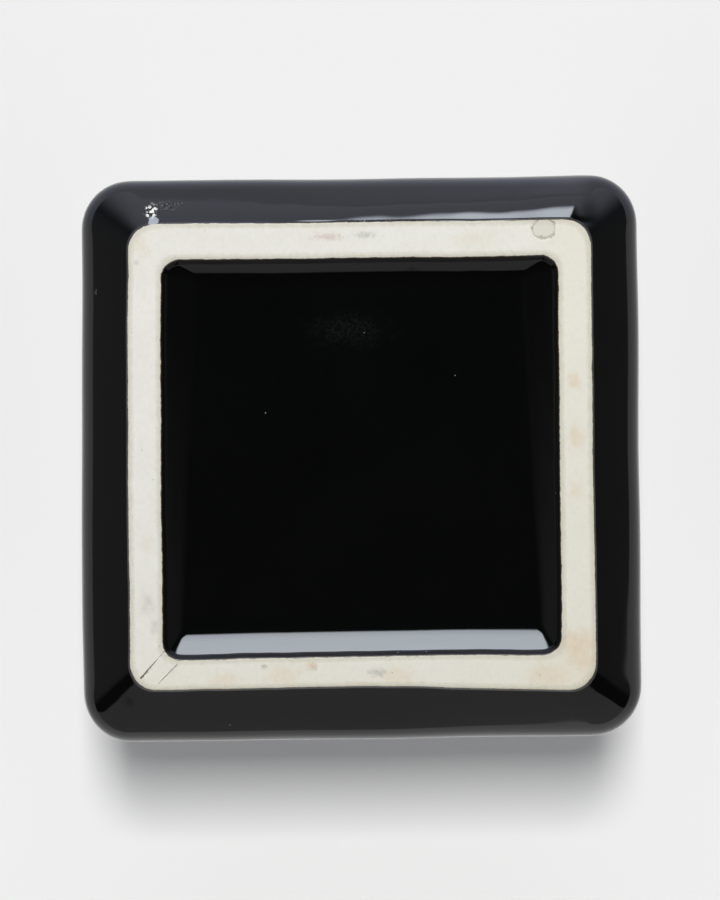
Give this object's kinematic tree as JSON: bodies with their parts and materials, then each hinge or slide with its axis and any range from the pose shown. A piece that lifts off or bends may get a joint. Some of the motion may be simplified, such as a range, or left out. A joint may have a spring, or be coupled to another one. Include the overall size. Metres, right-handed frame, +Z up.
{
  "type": "powder compact",
  "caption": "Square glazed ceramic powder compact on a bare foot ring, with brass rims, a rear hinge, a push catch, a mirror, a powder pan and a puff.",
  "frame": {"origin": "centre of the foot ring's flat face, which is the centre of the box's bottom", "axes": "+Z up through the lid, +Y towards the hinge, -Y towards the push button, +X to the right seen from the front"},
  "size_m": [0.08, 0.08, 0.0265],
  "materials": {
    "black_glaze": "glossy black glaze over a white body; the foot ring is bare and matt",
    "gilt_brass": "satin gilt brass, slightly worn",
    "catch_steel": "plain satin steel",
    "felt": "dense wool felt",
    "pan_metal": "bright aluminium",
    "pressed_powder": "matt pressed powder",
    "puff_velour": "short velour",
    "puff_satin": "satin weave",
    "ribbon": "ribbed silk ribbon",
    "mirror": "silvered glass",
    "card": "grey-brown pulp card"
  },
  "bodies": {
    "base": {"base_shell": "black_glaze", "base_bezel": "gilt_brass", "base_hinge_leaf": "gilt_brass", "hinge_pin": "gilt_brass", "catch_guide": "gilt_brass", "catch_spring": "catch_steel", "guide_rivets": "gilt_brass", "inner_frame": "gilt_brass", "powder_well": "gilt_brass", "well_cushion": "felt", "powder_pan": "pan_metal", "powder_cake": "pressed_powder", "puff_pad": "puff_velour", "puff_backing": "puff_satin", "puff_ribbon": "ribbon"},
    "lid": {"lid_shell": "black_glaze", "lid_bezel": "gilt_brass", "lid_hinge_leaf": "gilt_brass", "catch_hook": "gilt_brass", "mirror_glass": "mirror", "mirror_backing": "card", "mirror_frame": "gilt_brass"},
    "catch": {"push_button": "gilt_brass", "catch_slider": "catch_steel"}
  },
  "joints": [
    {"name": "lid_hinge", "type": "hinge", "parent": "base", "child": "lid", "pos_m": [0, 0.03885, 0.015], "axis": [-1, 0, 0], "range_deg": [0, 105]},
    {"name": "button_press", "type": "slide", "parent": "base", "child": "catch", "axis": [0, 1, 0], "range_m": [0, 0.0008], "stiffness_N_per_m": 600, "springref_m": -0.0008}
  ]
}
